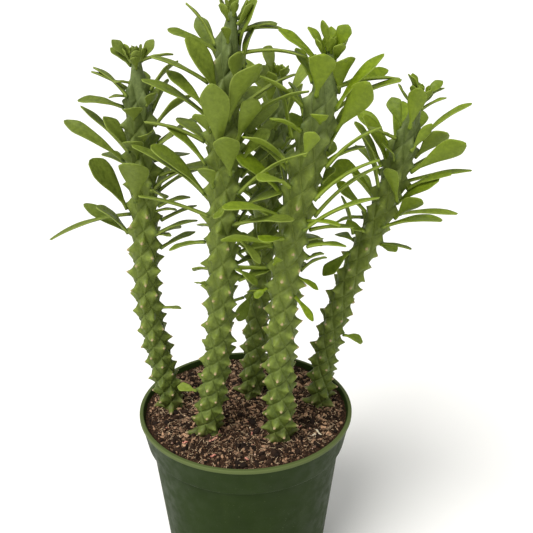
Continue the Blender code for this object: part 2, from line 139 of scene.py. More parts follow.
# More leaves, which have no solid.
MORE_LEAVES = {
    "left_stem": (
        (137, 168, 35, -40, 40, 9), (197, 170, 48, 0, 43, 7), (240, 190, 31, 0, 24, 6),
        (245, 215, 10, 0, 9, 6), (236, 200, 0, 0, 10, 6), (258, 180, 55, -50, 16, 7),
        (255, 175, 47, -40, 15, 6), (260, 200, 78, 0, 9, 10), (258, 0, 66, 50, 15, 8),
        (254, 275, 55, 0, 10, 7), (219, 268, 62, 0, 15, 13), (197, 262, 62, 0, 16, 14),
        (259, 350, 12, 0, 20, 7), (149, 15, 21, 0, 28, 6), (158, 350, 10, 0, 12, 6),
        (130, 20, 19, 0, 27, 7), (142, 340, 3, 0, 9, 6), (174, 350, 39, 0, 23, 8), (89, 340, -9, 0, 15, 6),
    ),
    "centre_left_stem": (
        (214, 190, 21, 0, 39, 8), (250, 185, 25, 0, 36, 9), (240, 170, 34, -40, 29, 9),
        (268, 175, 23, -20, 30, 7), (254, 310, 82, 0, 17, 12), (280, 0, 13, 0, 21, 8),
        (280, 10, 3, 0, 24, 7), (268, 350, -2, 0, 38, 8), (226, 335, 29, 0, 51, 9), (241, 0, 27, 0, 35, 7),
        (203, 20, 44, 50, 36, 6), (274, 262, 60, 0, 11, 6), (167, 210, 26, 0, 50, 6),
        (152, 190, -18, 0, 24, 7), (164, 330, 13, 0, 42, 10), (148, 335, -32, 20, 18, 6),
        (129, 340, -25, 20, 15, 6), (37, 186, 4, -30, 13, 8),
    ),
    "back_stem": (
        (244, 200, 72, -40, 20, 20), (221, 141, 48, 0, 46, 15), (225, 33, 50, 0, 42, 14),
        (181, 155, 25, 0, 44, 13), (186, 30, 25, 0, 42, 13),
    ),
    "centre_right_stem": (
        (269, 190, 59, -40, 17, 7), (271, 230, 74, 0, 18, 6), (270, 90, 75, 0, 14, 6),
        (271, 350, 78, 50, 16, 11), (250, 20, 15, 50, 34, 7), (251, 0, 8, 0, 36, 6),
        (203, 350, 33, 0, 28, 7), (168, 320, 9, 0, 23, 6), (161, 350, 8, 0, 27, 6),
        (215, 270, 60, 0, 15, 10), (262, 178, 41, -20, 31, 9), (138, 255, 50, 0, 12, 6),
        (121, 205, -35, -30, 11, 6), (128, 345, -36, 10, 12, 6), (115, 330, -58, 10, 18, 6),
        (233, 193, 42, 0, 34, 14), (186, 235, 26, 0, 36, 13),
    ),
    "right_stem": (
        (199, 345, 49, -50, 30, 17), (190, 0, 29, 0, 41, 6), (242, 200, 72, 0, 15, 11),
        (242, 120, 75, 0, 14, 8), (242, 0, 51, 40, 15, 8), (240, 10, 33, 0, 15, 6),
        (235, 340, 33, 0, 16, 6), (184, 10, 9, 0, 48, 7), (160, 350, 7, 20, 43, 6),
        (141, 190, 67, 0, 30, 9), (197, 175, 49, -20, 33, 12), (137, 0, -4, 0, 22, 7),
        (64, 350, -29, 10, 14, 9), (192, 179, 68, -30, 38, 12),
    ),
}

# How fresh the leaves' green is, 0 to 1.
FRESHNESS = {
    "left_stem": 0.15, "centre_left_stem": 0.4, "back_stem": 0.5,
    "centre_right_stem": 0.95, "right_stem": 0.8,
}

# Where other leaves grow: lowest height in mm, and the angles between which they are short and few, as the
# tables above name leaves there.
OTHER_LEAVES = {
    "left_stem": (125, 150, 325),
    "centre_left_stem": (118, 150, 300),
    "back_stem": (80, 0, 0),
    "centre_right_stem": (112, 250, 385),
    "right_stem": (118, 235, 385),
}

# Knobs follow each other round the stem by the golden angle. Each one's cell is a rhombus between the corners
# of the knobs 0, 3, 8 and 5 places before it: its top, left, bottom and right.
GOLDEN_ANGLE = 137.508
CELL_SPAN = 8
CORNER_TURN = 0.5 * (CELL_SPAN * GOLDEN_ANGLE - 1080)
CELL_CORNERS = ((0, 0), (3, 360), (8, 1080), (5, 720))

# ---------------------------------------------------------------------------------------------------------
# Small tools.


def clamp(values, low=0.0, high=1.0):
    return np.minimum(np.maximum(values, low), high)


def step(values, start, end):
    """0 before start, 1 after end, with a smooth rise between them."""
    t = clamp((values - start) / (end - start))
    return t * t * (3 - 2 * t)


def unit(v):
    return v / np.linalg.norm(v, axis=-1, keepdims=True)


def direction(angle, slope):
    flat = math.cos(math.radians(slope))
    turn = math.radians(angle)
    return Vector((flat * math.cos(turn), flat * math.sin(turn), math.sin(math.radians(slope))))


def grid_faces(rows, columns, closed=False):
    """Quads of a grid of points stored row by row. A closed grid joins each row's last point to its first."""
    across = np.arange(columns if closed else columns - 1)
    beside = (across + 1) % columns
    lines = np.arange(rows - 1)[:, None] * columns
    quads = np.stack([lines + across, lines + beside, lines + columns + beside, lines + columns + across], -1)
    return quads.reshape(-1, 4).tolist()


def closed_tube(rows, columns):
    """Faces of a closed grid with a flat end at its first row and its last."""
    ends = [tuple(range(columns))[::-1], tuple(range((rows - 1) * columns, rows * columns))]
    return grid_faces(rows, columns, closed=True) + ends


class Heap:
    """Many small closed shapes that become one piece."""

    def __init__(self):
        self.points = []
        self.faces = []
        self.values = {}
        self.count = 0

    def add(self, points, faces, **values):
        points = np.asarray(points, float)
        self.faces += [tuple(i + self.count for i in face) for face in faces]
        self.points.append(points)
        for name, value in values.items():
            self.values.setdefault(name, []).append(np.broadcast_to(value, len(points)))
        self.count += len(points)

    def to_piece(self, name, look):
        values = {key: np.concatenate(parts) for key, parts in self.values.items()}
        return piece(name, np.concatenate(self.points), self.faces, look, values)


def piece(name, points, faces, look, values=None):
    """A smooth mesh object on the root body, with one value per point for each of the look's attributes."""
    mesh = bpy.data.meshes.new(name)
    mesh.from_pydata(np.asarray(points).tolist(), [], faces)
    for key, numbers in (values or {}).items():
        layer = mesh.attributes.new(key, "FLOAT", "POINT")
        layer.data.foreach_set("value", np.asarray(numbers, np.float32))
    mesh.update()
    mesh.shade_smooth()
    mesh.materials.append(look)
    made = bpy.data.objects.new(name, mesh)
    bpy.context.scene.collection.objects.link(made)
    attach(made, "root")
    return made


# ---------------------------------------------------------------------------------------------------------
# Materials.


class Look:
    """A Principled material and short ways to feed it."""

    def __init__(self, name, roughness=0.5, specular=0.5):
        self.material = bpy.data.materials.new(name)
        self.material.use_nodes = True
        self.tree = self.material.node_tree
        self.shader = self.tree.nodes["Principled BSDF"]
        self.shader.inputs["Roughness"].default_value = roughness
        self.shader.inputs["Specular IOR Level"].default_value = specular
        self.place = self.tree.nodes.new("ShaderNodeTexCoord").outputs["Object"]

    def feed(self, socket, value):
        if isinstance(value, bpy.types.NodeSocket):
            self.tree.links.new(value, socket)
        elif isinstance(value, tuple):
            socket.default_value = (*value, 1) if len(socket.default_value) == 4 else value
        else:
            socket.default_value = value

    def put(self, name, value):
        self.feed(self.shader.inputs[name], value)

    def attribute(self, name):
        made = self.tree.nodes.new("ShaderNodeAttribute")
        made.attribute_name = name
        return made.outputs["Fac"]

    def noise(self, scale, detail=3.0, rough=0.55, stretch=(1, 1, 1)):
        place = self.place
        if stretch != (1, 1, 1):
            turned = self.tree.nodes.new("ShaderNodeMapping")
            turned.inputs["Scale"].default_value = stretch
            self.feed(turned.inputs["Vector"], place)
            place = turned.outputs["Vector"]
        made = self.tree.nodes.new("ShaderNodeTexNoise")
        made.inputs["Scale"].default_value = scale
        made.inputs["Detail"].default_value = detail
        made.inputs["Roughness"].default_value = rough
        self.feed(made.inputs["Vector"], place)
        return made.outputs["Fac"]

    def maths(self, operation, a, b=0.5):
        made = self.tree.nodes.new("ShaderNodeMath")
        made.operation = operation
        self.feed(made.inputs[0], a)
        self.feed(made.inputs[1], b)
        return made.outputs[0]

    def between(self, value, start, end, low=0.0, high=1.0):
        made = self.tree.nodes.new("ShaderNodeMapRange")
        made.interpolation_type = "SMOOTHSTEP"
        for name, number in (("From Min", start), ("From Max", end), ("To Min", low), ("To Max", high)):
            made.inputs[name].default_value = number
        self.feed(made.inputs["Value"], value)
        return made.outputs["Result"]

    def ramp(self, value, *stops):
        made = self.tree.nodes.new("ShaderNodeValToRGB")
        row = made.color_ramp.elements
        while len(row) < len(stops):
            row.new(0.5)
        for element, (position, colour) in zip(row, stops):
            element.position = position
            element.color = (*colour, 1)
        self.feed(made.inputs["Fac"], value)
        return made.outputs["Color"]

    def mix(self, share, a, b, blend="MIX"):
        """The shader's colour mix. Its inputs 0, 6 and 7 and its output 2 are the ones for colours."""
        made = self.tree.nodes.new("ShaderNodeMix")
        made.data_type = "RGBA"
        made.blend_type = blend
        for place, value in ((0, share), (6, a), (7, b)):
            self.feed(made.inputs[place], value)
        return made.outputs[2]

    def stain(self, base, name, start, end, most, colour):
        """The base colour, mixed with another by up to most as an attribute goes from start to end."""
        return self.mix(self.between(self.attribute(name), start, end, 0.0, most), base, colour)

    def bump(self, height, distance, strength=1.0):
        made = self.tree.nodes.new("ShaderNodeBump")
        made.inputs["Strength"].default_value = strength
        made.inputs["Distance"].default_value = distance
        self.feed(made.inputs["Height"], height)
        self.put("Normal", made.outputs["Normal"])


def srgb(red, green, blue):
    """A colour given as 0 to 255 in each channel, as the shader wants it."""
    shares = [channel / 255 for channel in (red, green, blue)]
    return tuple(s / 12.92 if s <= 0.04045 else ((s + 0.055) / 1.055) ** 2.4 for s in shares)


def stem_look():
    """Three greens from foot to tip, dusty at the foot, painted shade in the hollows and grooves, painted
    highlights on the knobs' ridges, a pinkish scar on bare knobs.
    """
    look = Look("stem_skin", 0.55, 0.22)
    mottle = look.noise(420, 5, 0.65)
    low = look.ramp(mottle, (0.3, srgb(74, 90, 32)), (0.7, srgb(108, 122, 48)))
    middle = look.ramp(mottle, (0.3, srgb(98, 114, 40)), (0.7, srgb(128, 142, 58)))
    high = look.ramp(mottle, (0.3, srgb(84, 98, 52)), (0.7, srgb(114, 128, 74)))
    rise = look.attribute("rise")
    skin = look.mix(look.between(rise, 0.1, 0.5), low, middle)
    skin = look.mix(look.between(rise, 0.7, 0.95), skin, high)
    skin = look.mix(look.maths("MULTIPLY", look.attribute("tone"), 0.25), skin, srgb(136, 152, 66))
    grains = look.between(look.noise(420, 4), 0.35, 0.65)
    dust = look.maths("MULTIPLY", look.between(rise, 0.07, 0.0), grains)
    skin = look.mix(look.maths("MULTIPLY", dust, 0.75), skin, srgb(96, 90, 58))
    # Painted highlight along the knobs' ridges.
    skin = look.stain(skin, "crest", 0.55, 1.0, 0.14, srgb(156, 172, 96))
    skin = look.stain(skin, "brim", 0.0, 1.0, 0.35, srgb(160, 176, 96))
    # Painted shade in the hollows round each knob's cone.
    skin = look.stain(skin, "valley", 0.0, 1.0, 0.45, srgb(52, 66, 20))
    # Painted shade in the sunk channels between the cells.
    skin = look.stain(skin, "groove", 0.0, 1.0, 0.3, srgb(58, 74, 22))
    skin = look.stain(skin, "joint", 0.2, 0.8, 0.5, srgb(56, 78, 40))
    skin = look.mix(look.attribute("scar"), skin, srgb(206, 170, 146))
    look.put("Base Color", skin)
    look.put("Roughness", look.between(look.noise(900, 2), 0.3, 0.7, 0.46, 0.62))
    look.bump(look.noise(1400, 3), 0.15 * MM, 0.6)
    return look.material


def leaf_look():
    """Fresh leaves are a bright yellow green. The others are duller and greyer."""
    look = Look("leaf_skin", 0.5, 0.2)
    mottle = look.noise(380, 5, 0.68)
    dull = look.ramp(mottle, (0.32, srgb(82, 96, 32)), (0.68, srgb(114, 128, 52)))
    fresh = look.ramp(mottle, (0.32, srgb(92, 113, 10)), (0.68, srgb(126, 147, 24)))
    skin = look.mix(look.attribute("fresh"), dull, fresh)
    skin = look.mix(look.maths("MULTIPLY", look.attribute("under"), 0.3), skin, srgb(130, 146, 58))
    skin = look.stain(skin, "tone", 0.6, 1.0, 0.45, srgb(144, 158, 74))
    skin = look.stain(skin, "tone", 0.5, 0.0, 0.35, srgb(66, 84, 28))
    skin = look.stain(skin, "across", 0.1, 0.0, 0.2, srgb(152, 170, 88))
    skin = look.stain(skin, "across", 0.9, 1.0, 0.5, srgb(160, 176, 84))
    skin = look.stain(skin, "along", 0.06, 0.0, 0.6, srgb(56, 78, 36))
    look.put("Base Color", skin)
    look.put("Roughness", look.between(look.noise(700, 2), 0.3, 0.7, 0.44, 0.58))
    look.bump(look.noise(1100, 3), 0.12 * MM, 0.5)
    return look.material


def pot_look():
    """Dark green plastic with specks, faint up-and-down stripes of painted reflection and a painted highlight
    along the lip.
    """
    look = Look("pot_plastic", 0.55, 0.06)
    haze = look.noise(28, 4)
    plastic = look.ramp(haze, (0.3, srgb(34, 48, 15)), (0.7, srgb(40, 55, 20)))
    # Painted reflection: faint paler stripes that run up and down the pot.
    reflection_streaks = look.between(look.noise(60, 3, stretch=(1, 1, 0.12)), 0.5, 0.85, 0.0, 0.1)
    plastic = look.mix(reflection_streaks, plastic, srgb(70, 84, 42))
    specks = look.between(look.noise(900, 2, 0.7), 0.66, 0.78, 0.0, 0.3)
    plastic = look.mix(specks, plastic, srgb(128, 138, 96))
    # Painted highlight: paler along the top and the outer rim of the lip.
    plastic = look.stain(plastic, "edge", 0.0, 1.0, 0.6, srgb(122, 134, 84))
    look.put("Base Color", plastic)
    look.put("Roughness", look.between(look.noise(120, 4), 0.3, 0.7, 0.4, 0.58))
    look.bump(look.noise(2200, 2), 0.06 * MM, 0.5)
    return look.material


def soil_look():
    look = Look("potting_soil", 0.95, 0.15)
    fine = look.noise(900, 5, 0.7)
    dark = look.ramp(fine, (0.42, srgb(24, 15, 10)), (0.6, srgb(68, 47, 32)), (0.73, srgb(172, 134, 102)))
    patch = look.between(look.noise(90, 3), 0.35, 0.65, 0.0, 0.35)
    look.put("Base Color", look.mix(patch, dark, srgb(60, 42, 30)))
    look.bump(look.noise(1500, 5, 0.7), 0.6 * MM, 0.9)
    return look.material


def litter_look(name, dark, pale, roughness=0.85):
    """Bits on the soil: each bit's own tone runs from dark to pale, with grain over it."""
    look = Look(name, roughness, 0.2)
    colour = look.mix(look.attribute("tone"), dark, pale)
    grain = look.between(look.noise(1300, 4, 0.7), 0.36, 0.64, 0.5, 1.3)
    shade = look.tree.nodes.new("ShaderNodeCombineColor")
    for channel in range(3):
        look.feed(shade.inputs[channel], grain)
    look.put("Base Color", look.mix(1.0, colour, shade.outputs["Color"], "MULTIPLY"))
    look.bump(look.noise(2400, 3), 0.15 * MM, 0.7)
    return look.material


# ---------------------------------------------------------------------------------------------------------
# The pot.

COLLAR_BOTTOM = POT_HEIGHT - COLLAR_HEIGHT
LIP_BOTTOM = POT_HEIGHT - LIP_HEIGHT
COLLAR_TOP_RADIUS = RIM_RADIUS - LIP_DEPTH
COLLAR_FOOT_RADIUS = COLLAR_TOP_RADIUS - COLLAR_TAPER
BODY_TOP_RADIUS = COLLAR_FOOT_RADIUS - COLLAR_STEP
SOIL_TOP = POT_HEIGHT - SOIL_DROP
POT_SEGMENTS = 240
HOLE_SEGMENTS = 32
LIP_ROUNDING = 0.9 * MM
LIP_HIGHLIGHT_BAND = 0.6 * MM


def body_radius(height):
    return BASE_RADIUS + (BODY_TOP_RADIUS - BASE_RADIUS) * height / COLLAR_BOTTOM


def inner_radius(height):
    if height <= COLLAR_BOTTOM:
        return body_radius(height) - WALL
    share = (height - COLLAR_BOTTOM) / COLLAR_HEIGHT
    return BODY_TOP_RADIUS - WALL + share * (COLLAR_TOP_RADIUS - BODY_TOP_RADIUS)


def rounded(profile, steps=5):
    """The profile with its corners rounded. Rows: radius, height, size of the rounding or 0."""
    line = []
    for i, (radius, height, size) in enumerate(profile):
        corner = np.array((radius, height))
        if not size:
            line.append(corner)
            continue
        before = unit(np.array(profile[i - 1][:2]) - corner)
        after = unit(np.array(profile[i + 1][:2]) - corner)
        for t in np.linspace(0, 1, steps):
            line.append(corner + size * ((1 - t) ** 2 * before + t**2 * after))
    return line


def ring_of(radius, height, segments):
    turns = np.arange(segments) * 2 * math.pi / segments
    return np.stack([radius * np.cos(turns), radius * np.sin(turns), np.full(segments, height)], -1)


def make_pot(look):
    profile = (
        (0.5 * (BASE_RADIUS - FOOT_BEVEL), 0, 0),
        (BASE_RADIUS - FOOT_BEVEL, 0, 1.2 * MM),
        (body_radius(FOOT_BEVEL), FOOT_BEVEL, 1.2 * MM),
        (body_radius(0.3 * COLLAR_BOTTOM), 0.3 * COLLAR_BOTTOM, 0),
        (body_radius(0.6 * COLLAR_BOTTOM), 0.6 * COLLAR_BOTTOM, 0),
        (BODY_TOP_RADIUS, COLLAR_BOTTOM - 0.3 * MM, 1.3 * MM),
        (COLLAR_FOOT_RADIUS, COLLAR_BOTTOM + 0.6 * MM, 1.1 * MM),
        (COLLAR_TOP_RADIUS - 0.1 * MM, LIP_BOTTOM - 0.2 * MM, 0.35 * MM),
        (RIM_RADIUS, LIP_BOTTOM + 0.3 * MM, 0.5 * MM),
        (RIM_RADIUS, POT_HEIGHT, LIP_ROUNDING),
        (inner_radius(POT_HEIGHT), POT_HEIGHT, LIP_ROUNDING),
        (inner_radius(COLLAR_BOTTOM), COLLAR_BOTTOM, 1.5 * MM),
        (inner_radius(FLOOR), FLOOR, 1.5 * MM),
        (0.5 * inner_radius(FLOOR), FLOOR, 0),
    )
    line = rounded(profile)
    points = np.concatenate([ring_of(radius, height, POT_SEGMENTS) for radius, height in line])
    faces = closed_tube(len(line), POT_SEGMENTS)
    pot = piece("nursery_pot", points, faces, look)
    cutters = []
    for number in range(DRAIN_HOLES):
        turn = math.radians(360 / DRAIN_HOLES * (number + 0.5))
        shaft = np.concatenate([ring_of(DRAIN_RADIUS, z, HOLE_SEGMENTS) for z in (-FLOOR, 2 * FLOOR)])
        shaft += (DRAIN_CIRCLE * math.cos(turn), DRAIN_CIRCLE * math.sin(turn), 0)
        mesh = bpy.data.meshes.new("drain")
        mesh.from_pydata(shaft.tolist(), [], closed_tube(2, HOLE_SEGMENTS))
        cutter = bpy.data.objects.new("drain", mesh)
        bpy.context.scene.collection.objects.link(cutter)
        cutters.append(cutter)
        cut = pot.modifiers.new("drain", "BOOLEAN")
        cut.operation = "DIFFERENCE"
        cut.solver = "EXACT"
        cut.object = cutter
    bpy.context.view_layer.update()
    mesh = bpy.data.meshes.new_from_object(pot.evaluated_get(bpy.context.evaluated_depsgraph_get()))
    pot.modifiers.clear()
    pot.data = mesh
    for cutter in cutters:
        bpy.data.objects.remove(cutter, do_unlink=True)
    mesh.shade_smooth()
    mesh.set_sharp_from_angle(angle=math.radians(40))
    numbers = np.empty(3 * len(mesh.vertices), np.float32)
    mesh.vertices.foreach_get("co", numbers)
    spots = numbers.reshape(-1, 3)
    radii = np.hypot(spots[:, 0], spots[:, 1])
    # The lip's painted highlight: how much paler each point is near the top and the outer rim.
    edge = step(spots[:, 2], POT_HEIGHT - LIP_HIGHLIGHT_BAND, POT_HEIGHT) * 0.6
    edge += 0.7 * step(radii, RIM_RADIUS - 0.5 * MM, RIM_RADIUS)
    layer = mesh.attributes.new("edge", "FLOAT", "POINT")
    layer.data.foreach_set("value", clamp(edge).astype(np.float32))
    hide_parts("pot")


# ---------------------------------------------------------------------------------------------------------
# The soil and what lies on it.

SOIL_EDGE = inner_radius(SOIL_TOP) - FIT_GAP
SOIL_CELLS = 210


def soil_height(x, y):
    """Height of the soil's surface: slow swells, clods and grains."""
    spot = Vector((x, y, 0))
    swell = noise.noise(spot * 28) * 1.4 + noise.noise(spot * 75 + Vector((5, 3, 1))) * 1.1
    clods = noise.noise(spot * 230) * 0.8 + noise.noise(spot * 520) * 0.55 + noise.noise(spot * 1100) * 0.35
    from_wall = 1 - math.exp(-max(0.0, SOIL_EDGE - math.hypot(x, y)) / (4 * MM))
    return SOIL_TOP + (swell * (0.4 + 0.6 * from_wall) + clods - 0.8 * (1 - from_wall)) * MM


def disc_spot(a, b, radius):
    """A square's point (a, b), each -1 to 1, moved to a disc with even spacing."""
    if a == 0 and b == 0:
        return 0.0, 0.0
    if abs(a) > abs(b):
        r, turn = a, math.pi / 4 * b / a
    else:
        r, turn = b, math.pi / 2 - math.pi / 4 * a / b
    return radius * r * math.cos(turn), radius * r * math.sin(turn)


def make_soil(look):
    size = SOIL_CELLS + 1
    radius = inner_radius(SOIL_TOP) + 0.5 * MM
    points = []
    for i in range(size):
        for j in range(size):
            x, y = disc_spot(2 * i / SOIL_CELLS - 1, 2 * j / SOIL_CELLS - 1, radius)
            points.append((x, y, soil_height(x, y)))
    faces = [face[::-1] for face in grid_faces(size, size)]
    loop = [j for j in range(size)]
    loop += [i * size + size - 1 for i in range(1, size)]
    loop += [(size - 1) * size + j for j in range(size - 2, -1, -1)]
    loop += [i * size for i in range(size - 2, 0, -1)]
    for height in (COLLAR_BOTTOM, FLOOR + 2 * FIT_GAP):
        below = []
        shrink = (inner_radius(height) - FIT_GAP) / radius
        radius = inner_radius(height) - FIT_GAP
        for index in loop:
            x, y = points[index][:2]
            below.append(len(points))
            points.append((x * shrink, y * shrink, height))
        for a, b, c, d in zip(loop, loop[1:] + loop[:1], below[1:] + below[:1], below):
            faces.append((a, b, c, d))
        loop = below
    middle = len(points)
    points.append((0, 0, FLOOR + 2 * FIT_GAP))
    faces += [(a, b, middle) for a, b in zip(loop, loop[1:] + loop[:1])]
    soil = piece("soil_surface", points, faces, look)
    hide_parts("potting_soil")


def ball_shape(level):
    """Points and faces of a small sphere to be bent into a crumb."""
    body = bmesh.new()
    bmesh.ops.create_icosphere(body, subdivisions=level, radius=1)
    points = np.array([v.co[:] for v in body.verts])
    faces = [tuple(v.index for v in f.verts) for f in body.faces]
    body.free()
    return points, faces


def random_turn(draw):
    """A random rotation matrix."""
    q = unit(np.array([draw.gauss(0, 1) for _ in range(4)]))
    w, x, y, z = q
    return np.array((
        (1 - 2 * (y * y + z * z), 2 * (x * y - w * z), 2 * (x * z + w * y)),
        (2 * (x * y + w * z), 1 - 2 * (x * x + z * z), 2 * (y * z - w * x)),
        (2 * (x * z - w * y), 2 * (y * z + w * x), 1 - 2 * (x * x + y * y)),
    ))


def on_soil(draw, margin=2.5 * MM, back=1.0):
    """A random place on the soil. A higher back moves more of them to the far side."""
    while True:
        radius = (SOIL_EDGE - margin) * math.sqrt(draw.random())
        turn = draw.uniform(0, 2 * math.pi)
        x, y = radius * math.cos(turn), radius * math.sin(turn)
        if draw.random() < (0.5 + 0.5 * y / SOIL_EDGE) ** (back - 1):
            return x, y


def crumb(draw, shape, size, flat=0.8):
    """One rough lump: a sphere squashed, dented and turned."""
    points, faces = shape
    seed = Vector([draw.uniform(0, 50) for _ in range(3)])
    dents = np.array([1 + 0.55 * noise.noise(Vector(p) * 1.3 + seed) for p in points])
    scale = np.array((draw.uniform(0.8, 1.3), draw.uniform(0.7, 1.1), flat * draw.uniform(0.7, 1.1)))
    return size * (points * dents[:, None] * scale) @ random_turn(draw).T, faces


CRUMBS = 5200
LUMPS = 230
CHIPS = 620
CHIP_CORNERS = 9
LONG_CHIP_EVERY = 12
# A chip's four outlines, from its upper face to its lower one: share of its outline, share of its thickness.
CHIP_LEVELS = ((0.72, 1.0), (1.0, 0.45), (1.0, -0.45), (0.72, -1.0))
FIBRES = 2300
FIBRE_MARKS = 8
BITS = 46
SPLINTER_MARKS = 7


def make_crumbs(look):
    draw = random.Random(11)
    shape = ball_shape(1)
    heap = Heap()
    for _ in range(CRUMBS):
        x, y = on_soil(draw)
        size = (0.34 + 1.15 * draw.random() ** 2.4) * MM
        points, faces = crumb(draw, shape, size)
        heap.add(points + (x, y, soil_height(x, y) + 0.25 * size), faces, tone=draw.random() ** 2.8)
    heap.to_piece("peat_crumbs", look)


def make_lumps(look):
    draw = random.Random(23)
    shape = ball_shape(2)
    heap = Heap()
    for _ in range(LUMPS):
        x, y = on_soil(draw, 5 * MM)
        size = draw.uniform(1.1, 3.4) * MM
        points, faces = crumb(draw, shape, size, 0.6)
        heap.add(points + (x, y, soil_height(x, y)), faces, tone=0.3 * draw.random())
    heap.to_piece("peat_lumps", look)


def make_chips(look):
    """Flat splinters of bark, thicker in the middle, lying at all angles."""
    draw = random.Random(37)
    heap = Heap()
    for number in range(CHIPS):
        x, y = on_soil(draw, 4 * MM, 1.7)
        long = draw.uniform(0.9, 2.9) * MM * (1.7 if number % LONG_CHIP_EVERY == 0 else 1)
        wide = long * draw.uniform(0.25, 0.65)
        thick = draw.uniform(0.25, 0.6) * MM
        outline = []
        for i in range(CHIP_CORNERS):
            turn = 2 * math.pi * i / CHIP_CORNERS
            reach = draw.uniform(0.7, 1.1)
            outline.append((long * reach * math.cos(turn), wide * reach * math.sin(turn)))
        rings = []
        for share, level in CHIP_LEVELS:
            for u, v in outline:
                rings.append((share * u, share * v, level * thick + 0.12 * u * math.sin(3 * v / wide)))
        points = np.array(rings)
        faces = closed_tube(len(CHIP_LEVELS), CHIP_CORNERS)
        tilt, lean = math.radians(draw.gauss(0, 16)), math.radians(draw.gauss(0, 16))
        spin = draw.uniform(0, math.pi)
        turned = Matrix.Rotation(spin, 3, "Z") @ Matrix.Rotation(tilt, 3, "X") @ Matrix.Rotation(lean, 3, "Y")
        points = points @ np.array(turned).T
        heap.add(points + (x, y, soil_height(x, y) + thick), faces, tone=draw.random())
    heap.to_piece("bark_chips", look)


def tube(path, radii, sides=6):
    """A closed tube along a path of points."""
    path = np.asarray(path, float)
    along = unit(np.gradient(path, axis=0))
    side = unit(np.cross(along, (0.31, 0.17, 0.94)))
    other = np.cross(along, side)
    turns = 2 * math.pi * np.arange(sides) / sides
    ring = np.cos(turns)[None, :, None] * side[:, None] + np.sin(turns)[None, :, None] * other[:, None]
    points = (path[:, None] + np.asarray(radii)[:, None, None] * ring).reshape(-1, 3)
    return points, closed_tube(len(path), sides)


def make_fibres(look):
    """Thin bent fibres that rest on the surface or stand a little clear of it."""
    draw = random.Random(51)
    heap = Heap()
    for _ in range(FIBRES):
        x, y = on_soil(draw, 4 * MM)
        length = (1.2 + 6.0 * draw.random() ** 2.2) * MM
        thick = draw.uniform(0.09, 0.2) * MM
        heading = draw.uniform(0, 2 * math.pi)
        bend = draw.gauss(0, 1.8) / FIBRE_MARKS
        path = []
        for i in range(FIBRE_MARKS):
            lift = math.sin(math.pi * i / (FIBRE_MARKS - 1)) * draw.uniform(0.1, 0.14) * length
            path.append((x, y, soil_height(x, y) + thick + 0.35 * MM + lift))
            x += length / FIBRE_MARKS * math.cos(heading)
            y += length / FIBRE_MARKS * math.sin(heading)
            heading += bend
            if math.hypot(x, y) > SOIL_EDGE - 0.8 * MM:
                break
        if len(path) < 4:
            continue
        radii = [thick * (1 - 0.6 * abs(2 * i / (len(path) - 1) - 1) ** 3) for i in range(len(path))]
        points, faces = tube(path, radii, 5)
        heap.add(points, faces, tone=draw.random())
    heap.to_piece("peat_fibres", look)


# Each row: place to the right and to the back in mm, length in mm, direction, and tone from pink to whitish.
SPLINTERS = (
    (39, -27, 9, 55, 0.15), (53, -32, 8, 120, 0.95), (49, -36, 5, 20, 0.9), (-19, -34, 6, 70, 0.1),
    (-22, -41, 8, 40, 0.2), (-42, -44, 4, 10, 0.1), (5, -34, 3, 80, 0.1), (-21, -61, 4, 20, 0.1),
    (2, -62, 3, 150, 0.15), (30, 20, 4, 30, 0.2),
)


def make_bits(look):
    """Small pale and pinkish bits, and the splinters of the table above."""
    draw = random.Random(67)
    shape = ball_shape(2)
    heap = Heap()
    for _ in range(BITS):
        x, y = on_soil(draw, 5 * MM)
        size = draw.uniform(0.35, 0.85) * MM
        points, faces = crumb(draw, shape, size)
        heap.add(points + (x, y, soil_height(x, y) + 0.5 * size), faces, tone=draw.random())
    for x, y, length, heading, tone in SPLINTERS:
        x, y, length, heading = x * MM, y * MM, length * MM, math.radians(heading)
        path = []
        shares = [i / (SPLINTER_MARKS - 1) - 0.5 for i in range(SPLINTER_MARKS)]
        for share in shares:
            a, b = x + share * length * math.cos(heading), y + share * length * math.sin(heading)
            path.append((a, b, soil_height(x, y) + (0.9 + 0.5 * math.sin(7 * share)) * MM))
        radii = [draw.uniform(0.5, 0.85) * MM * (1 - 1.6 * share**2) for share in shares]
        points, faces = tube(path, radii, 6)
        heap.add(points, faces, tone=tone)
    heap.to_piece("pale_bits", look)


# ---------------------------------------------------------------------------------------------------------
# The stems.

TRACK_STEPS = 24
HALF_MARKS = (0.12, 0.25, 0.4, 0.58, 0.76, 0.88, 0.95, 1)
CELL_MARKS = np.array([-mark for mark in HALF_MARKS[::-1]] + [0, *HALF_MARKS])
END_SIDES = 64
REACH_BELOW = 60 * MM
REACH_ABOVE = 30 * MM
BURIED_KNOBS = 9


